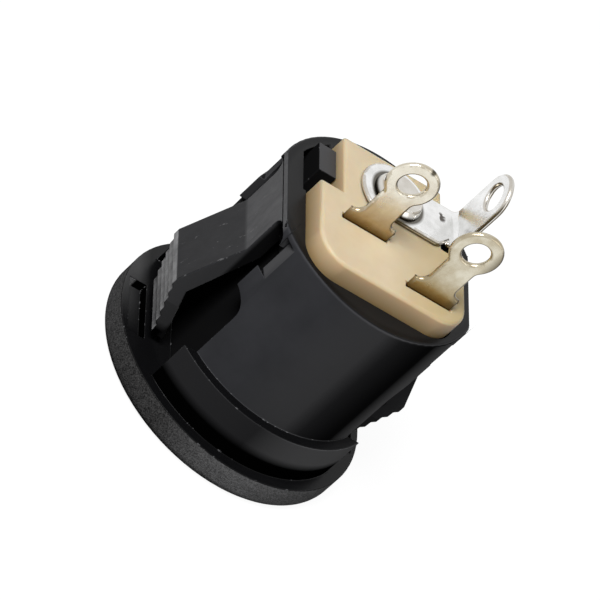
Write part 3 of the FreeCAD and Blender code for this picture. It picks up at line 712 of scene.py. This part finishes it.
# A painted dark reflection along the right lug's border.
BORDER_REFLECTION_FROM = 2.7
BORDER_REFLECTION_FADE = 0.45
BORDER_REFLECTION_SHARE = 0.85
BORDER_PAINTED_REFLECTION = (0.13, 0.105, 0.065)
NICK = (-1.39, 0.0, 17.6)
NICK_DARK = (0.08, 0.07, 0.05)
LUGS = {
    "switch_strip": [(0.8, 0.76, 0.65), (0.33, 0.225, 0.09), (12.9, 15.1), 0.15],
    "sleeve_strip": [(0.68, 0.64, 0.52), (0.31, 0.23, 0.1), (13.0, 15.2), 0.4],
}
strips = {}
for name, settings in LUGS.items():
    strips[name], tree, shader, colour = plated(name, *settings)
    where = parts(tree, position(tree))
    rooted_shade = blend(tree, beyond(tree, where["Z"], ROOT_TOP, ROOT_FADE), colour, ROOT_PAINTED_SHADE)
    border_reflection = product(tree, beyond(tree, where["X"], BORDER_REFLECTION_FROM, BORDER_REFLECTION_FADE), BORDER_REFLECTION_SHARE)
    tarnish_and_painted_dark = blend(tree, border_reflection, rooted_shade, BORDER_PAINTED_REFLECTION)
    outline(tree, shader, blend(tree, near(tree, NICK, 0.08, 0.2, (1.0, 0.0, 1.0)), tarnish_and_painted_dark, NICK_DARK))
print("lugs:", sorted(strips))

# %% [markdown]
# The centre lug is fresher and silver white. Its ring is pressed under the rivet's head, and a painted
# shade darkens the corner round the head. Its tongue has a small mark of a punch. A dent in the mesh would
# be smooth and clean, so the mark is a few broken strokes of colour inside a spot.

# %% Centre lug
PIN_Y = 1.65
HEAD_RADIUS = 1.36
# A painted shade in the corner round the rivet's head.
CORNER_SHADE_SHARE = 0.9
CORNER_PAINTED_SHADE = (0.05, 0.04, 0.022)
PUNCH_PLACE = (2.54, 2.05, 0.0)
PUNCH_DARK = (0.1, 0.09, 0.08)
# The centre lug's own direction and colour for its painted dark reflection.
LUG_DARK_SIDE = (0.25, -0.65, -0.6)
LUG_PAINTED_DARK_LINE = (0.1, 0.08, 0.045)
centre_strip, tree, shader, colour = plated(
    "centre_strip", (0.87, 0.87, 0.865), (0.56, 0.56, 0.54), (12.7, 13.3), 0.4
)
corner = near(tree, (0.0, PIN_Y, 0.0), HEAD_RADIUS + 0.08, HEAD_RADIUS + 0.22)
corner_shaded = blend(tree, product(tree, corner, CORNER_SHADE_SHARE), colour, CORNER_PAINTED_SHADE)
dashes = ramp(tree, noise(tree, 5.0, detail=3.0, roughness=0.6, stretch=(1.0, 0.5, 1.0)), 0.5, 0.56)
punched = blend(tree, product(tree, near(tree, PUNCH_PLACE, 0.2, 0.34), dashes), corner_shaded, PUNCH_DARK)
outline(tree, shader, punched, LUG_DARK_SIDE, LUG_PAINTED_DARK_LINE)
print("centre lug:", len(tree.nodes), "nodes")

# %% [markdown]
# The rivet's head is the pin's own nickel-plated end, turned and then spread by a punch, so it's smoother
# than the strip. The foot of the head lies in the lug's shadow, and a dark ring of colour there sets it
# off from the lug.

# %% Centre pin
HEAD_RISE = 13.56
HEAD_FADE = -0.14
NICKEL_ROUGH = (0.12, 0.22)
nickelled, tree, shader, colour = plated(
    "nickelled_pin", (0.86, 0.85, 0.82), (0.5, 0.47, 0.42), (12.6, 13.3), 0.4, NICKEL_ROUGH
)
height = parts(tree, position(tree))["Z"]
outline(tree, shader, blend(tree, beyond(tree, height, HEAD_RISE, HEAD_FADE), colour, PAINTED_DARK_LINE))
print("pin:", len(tree.nodes), "nodes")

# %% [markdown]
# Each finish goes on its dressed piece, and also into the slots of the CAD node that the piece stands
# for, so that the node looks the same wherever it's shown instead.

# %% Finishes on the pieces
FINISHES = {
    "housing": black,
    "terminal_plate": tan,
    "centre_pin": nickelled,
    "centre_lug": centre_strip,
    "switch_contact": strips["switch_strip"],
    "sleeve_spring": strips["sleeve_strip"],
}
for node, material in FINISHES.items():
    pieces[node].data.materials.append(material)
    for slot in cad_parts[node].material_slots:
        slot.material = material
print("finishes on", len(FINISHES), "pieces")

# %% [markdown]
# The studio is a pale floor that runs far enough to fill every view, and a grey world. A brighter lamp
# would whiten the floor and the jack alike, so the floor and the world are white only to the camera, in
# reflections and through glass, which Light Path tells, and the jack gets no light from that. The floor
# still takes the jack's shadow. It lies a hair under the flange, and from below it's clear, so that the
# front face can be looked at.

# %% Floor
FLOOR_SIDE = 4.0
FLOOR_GAP = 0.02
FLOOR_GREY = 0.13
FLOOR_GLOW = 0.95


def seen_directly(tree):
    """1 for rays from the camera, from a glossy surface or through glass, and 0 for diffuse light."""
    path = place(tree, "ShaderNodeLightPath").outputs
    first = number(tree, "ADD", path["Is Camera Ray"], path["Is Glossy Ray"])
    return number(tree, "ADD", first, path["Is Transmission Ray"], clamp=True)


half = FLOOR_SIDE / 2
corners = [(-half, -half), (half, -half), (half, half), (-half, half)]
floor_mesh = bpy.data.meshes.new("studio_floor")
floor_mesh.from_pydata([(x, y, -FLOOR_GAP * MM) for x, y in corners], [], [(0, 1, 2, 3)])
floor = bpy.data.objects.new("studio_floor", floor_mesh)
scene.collection.objects.link(floor)
floor_material, tree, shader = new_material(
    "studio_floor",
    Roughness=0.9,
    Specular_IOR_Level=0.0,
    Base_Color=(FLOOR_GREY, FLOOR_GREY, FLOOR_GREY, 1.0),
    Emission_Color=(1.0, 1.0, 1.0, 1.0),
)
tree.links.new(product(tree, seen_directly(tree), FLOOR_GLOW), shader.inputs["Emission Strength"])
from_below = place(tree, "ShaderNodeNewGeometry").outputs["Backfacing"]
clear = place(tree, "ShaderNodeBsdfTransparent").outputs[0]
sided = place(tree, "ShaderNodeMixShader", {0: from_below, 1: shader.outputs[0], 2: clear})
tree.links.new(sided.outputs[0], tree.nodes["Material Output"].inputs["Surface"])
floor_mesh.materials.append(floor_material)
print("floor side in m:", FLOOR_SIDE)

# %% World
WORLD_LIGHT = 0.04
WORLD_SEEN = 1.0
world = bpy.data.worlds.new("studio_world")
scene.world = world
world.use_nodes = True
tree = world.node_tree
background = tree.nodes["Background"]
background.inputs["Color"].default_value = (1.0, 1.0, 1.0, 1.0)
strength = ramp(tree, seen_directly(tree), 0.0, 1.0, WORLD_LIGHT, WORLD_SEEN)
tree.links.new(strength, background.inputs["Strength"])
print("world light:", WORLD_LIGHT)

# %% [markdown]
# One large soft lamp stands where the photograph's highlights point to, at the camera's left and high up.
# A second, far weaker one at the camera's right lifts the plate's front wall. Spot lamps would give the
# hard shadows that a product picture avoids. A lamp's power is the radiance of its face times its area
# times pi, so the level stays the same when the lamp's side changes.

# %% Lamps
AIM_HEIGHT = 8.0


def soft_lamp(name, place_mm, side, level):
    """A square lamp with a side in mm that faces the jack; level is the radiance of its face."""
    data = bpy.data.lights.new(name, "AREA")
    data.shape = "SQUARE"
    data.size = side * MM
    data.energy = level * math.pi * (side * MM) ** 2
    lamp = bpy.data.objects.new(name, data)
    back = Vector(place_mm) - Vector((0, 0, AIM_HEIGHT))
    turn = back.to_track_quat("Z", "Y").to_matrix().to_4x4()
    lamp.matrix_world = Matrix.Translation(Vector(place_mm) * MM) @ turn
    scene.collection.objects.link(lamp)
    print(name, "energy", round(data.energy, 3))


soft_lamp("key_lamp", (-105, -62, 212), 100, 17.0)
soft_lamp("fill_lamp", (140, -150, 90), 120, 1.0)

# %% [markdown]
# The view transform is Standard, so that a colour renders about as it's written.

scene.view_settings.view_transform = "Standard"
